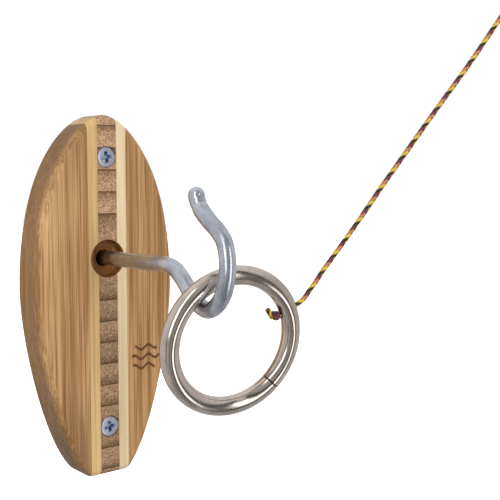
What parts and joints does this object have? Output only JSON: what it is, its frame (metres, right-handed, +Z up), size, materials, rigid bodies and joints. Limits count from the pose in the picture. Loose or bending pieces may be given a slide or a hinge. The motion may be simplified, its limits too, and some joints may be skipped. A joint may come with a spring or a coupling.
{
  "type": "hook and ring swing game",
  "caption": "Wall-mounted hook and ring game: laminated bamboo board with a bent steel hook, and a steel ring hung on it by a braided cord that rises to a ceiling screw eye.",
  "frame": {"origin": "on the board's flat back face, straight behind the hook's shank, in the wall's plane", "axes": "+Z up along the board towards its rounded tip, +Y into the wall, the hook reaching out along -Y, +X to the right as a player facing the wall sees it"},
  "size_m": [0.1412, 0.1371, 0.2142],
  "materials": {
    "bamboo": "oiled long-grain bamboo",
    "dark_bamboo": "oiled end-grain bamboo",
    "pale_bamboo": "oiled natural bamboo",
    "zinc": "bright zinc plate",
    "nickel": "nickel plate",
    "cord_yellow": "round braid in yellow, orange, maroon and black"
  },
  "bodies": {
    "wall_board": {"left_panel": "bamboo", "left_light_strip": "pale_bamboo", "end_grain_block_01": "dark_bamboo", "end_grain_block_02": "dark_bamboo", "end_grain_block_03": "dark_bamboo", "end_grain_block_04": "dark_bamboo", "end_grain_block_05": "dark_bamboo", "end_grain_block_06": "dark_bamboo", "end_grain_block_07": "dark_bamboo", "end_grain_block_08": "dark_bamboo", "end_grain_block_09": "dark_bamboo", "end_grain_block_10": "dark_bamboo", "end_grain_block_11": "dark_bamboo", "end_grain_block_12": "dark_bamboo", "end_grain_block_13": "dark_bamboo", "end_grain_block_14": "dark_bamboo", "end_grain_block_15": "dark_bamboo", "end_grain_block_16": "dark_bamboo", "end_grain_block_17": "dark_bamboo", "right_light_strip": "pale_bamboo", "right_panel": "bamboo", "hook": "zinc", "upper_screw": "zinc", "lower_screw": "zinc", "ceiling_eye": "zinc"},
    "ring_and_cord": {"ring": "nickel", "cord": "cord_yellow", "stopper_knot": "cord_yellow", "top_loop": "cord_yellow"}
  },
  "joints": [
    {"name": "ring_swing", "type": "hinge", "parent": "wall_board", "child": "ring_and_cord", "pos_m": [-0.00202, -0.07262, -0.00966], "axis": [0.6944, -0.2551, 0.6729], "range_deg": [-20, 18]}
  ]
}
